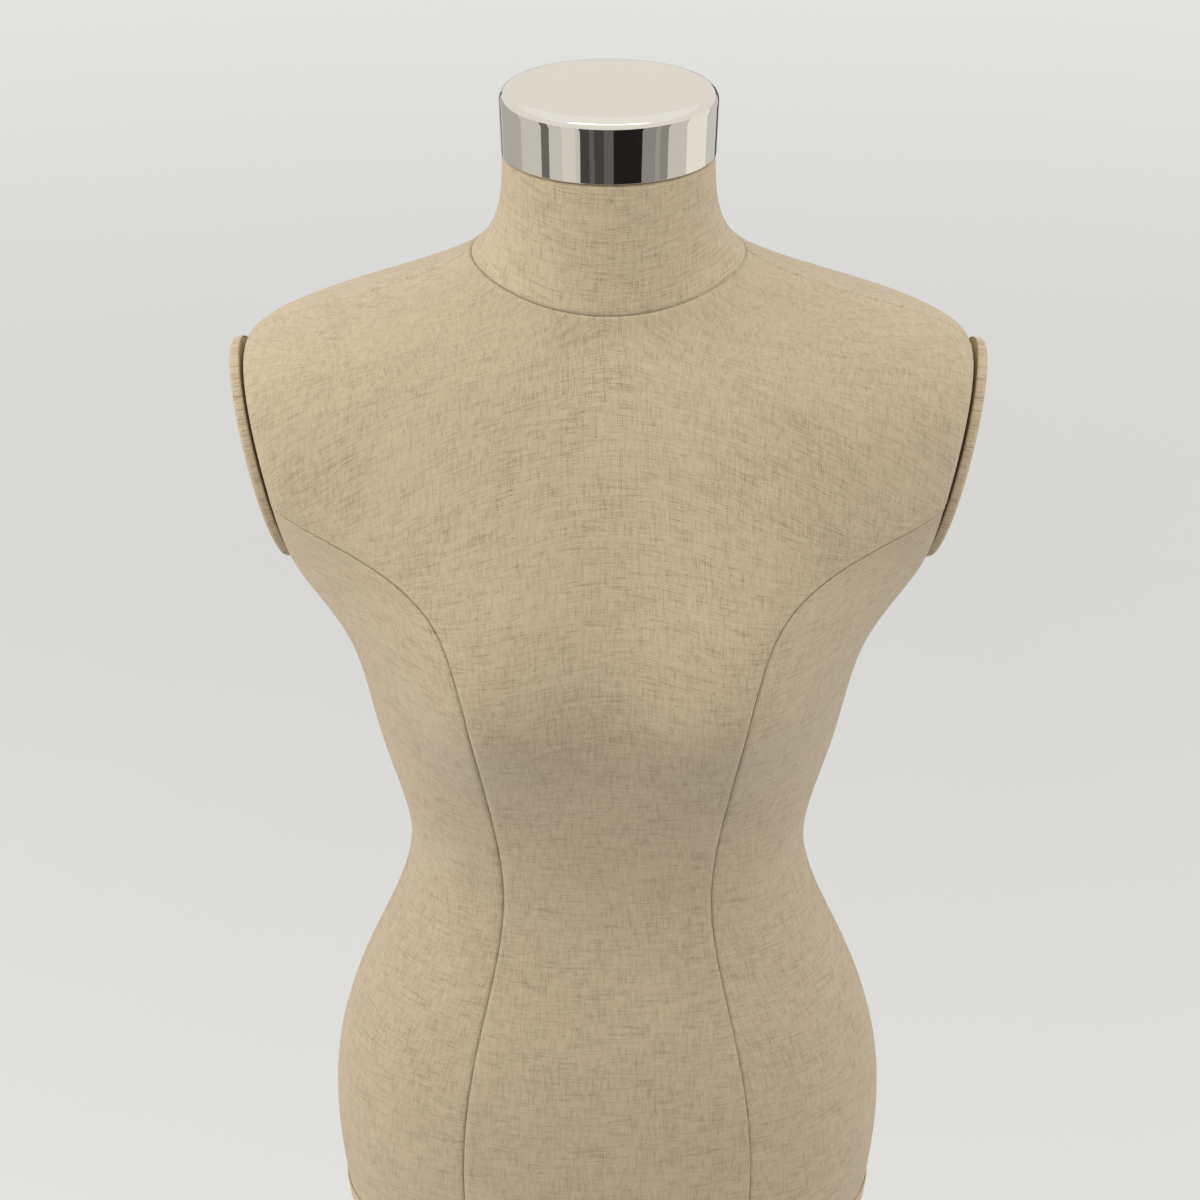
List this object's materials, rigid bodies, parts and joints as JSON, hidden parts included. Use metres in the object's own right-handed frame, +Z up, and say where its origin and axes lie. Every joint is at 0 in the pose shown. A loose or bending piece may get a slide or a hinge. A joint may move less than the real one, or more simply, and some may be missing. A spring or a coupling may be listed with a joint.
{
  "type": "dress form mannequin",
  "caption": "Armless linen-covered dress form with a chromed lift-off neck cap, on a pole that slides and turns in a round steel base.",
  "frame": {"origin": "on the floor, at the middle of the base and under the pole's axis", "axes": "+Z up along the pole; -Y is the way the form faces; +X is the form's own left"},
  "size_m": [0.4006, 0.35, 1.5],
  "materials": {
    "linen": "natural undyed linen, plain weave",
    "tape": "linen binding tape",
    "polished_chrome": "polished",
    "chrome": "polished",
    "steel": "zinc plated",
    "moulded_shell": "moulded fibre-reinforced plastic",
    "wood": "unfinished birch plywood",
    "nylon": "moulded nylon",
    "rubber": "matt"
  },
  "bodies": {
    "stand": {"base_plate": "chrome", "base_feet": "rubber", "base_bolt": "steel", "base_flange": "chrome", "foot_plug": "steel", "lower_pole": "chrome", "pole_bush": "nylon", "clamp_collar": "chrome"},
    "height_screw": {"height_screw": "steel", "height_knob": "chrome"},
    "pole": {"upper_pole": "chrome", "pole_guide": "nylon", "pole_cap": "nylon"},
    "torso": {"socket_tube": "chrome", "socket_plug": "nylon", "socket_flange": "chrome", "flange_screws": "steel", "bottom_board": "wood", "torso_shell_front": "moulded_shell", "torso_shell_back": "moulded_shell", "neck_block": "wood", "neck_bush": "nylon", "linen_front_centre": "linen", "linen_front_left": "linen", "linen_front_right": "linen", "linen_back_left": "linen", "linen_back_right": "linen", "linen_back_centre_left": "linen", "linen_back_centre_right": "linen", "linen_neck": "linen", "hem_tape": "tape", "arm_plate_left": "wood", "arm_plate_right": "wood", "arm_cloth_left": "linen", "arm_cloth_right": "linen"},
    "swivel_screw": {"swivel_screw": "steel", "swivel_knob": "chrome"},
    "neck_cap": {"neck_cap_shell": "polished_chrome", "neck_cap_core": "wood", "neck_cap_pin": "steel"}
  },
  "joints": [
    {"name": "height_screw_turn", "type": "hinge", "parent": "stand", "child": "height_screw", "pos_m": [0, 0.035, 0.545], "axis": [0, 1, 0], "range_deg": [0, 720]},
    {"name": "pole_slide", "type": "slide", "parent": "stand", "child": "pole", "axis": [0, 0, 1], "range_m": [-0.15, 0.15]},
    {"name": "torso_turn", "type": "hinge", "parent": "pole", "child": "torso", "pos_m": [0, 0, 0.8], "axis": [0, 0, 1], "continuous": true},
    {"name": "swivel_screw_turn", "type": "hinge", "parent": "torso", "child": "swivel_screw", "pos_m": [0, 0.03, 0.779], "axis": [0, 1, 0], "range_deg": [0, 720]},
    {"name": "neck_cap_lift", "type": "slide", "parent": "torso", "child": "neck_cap", "axis": [0, 0, 1], "range_m": [0, 0.06]}
  ]
}
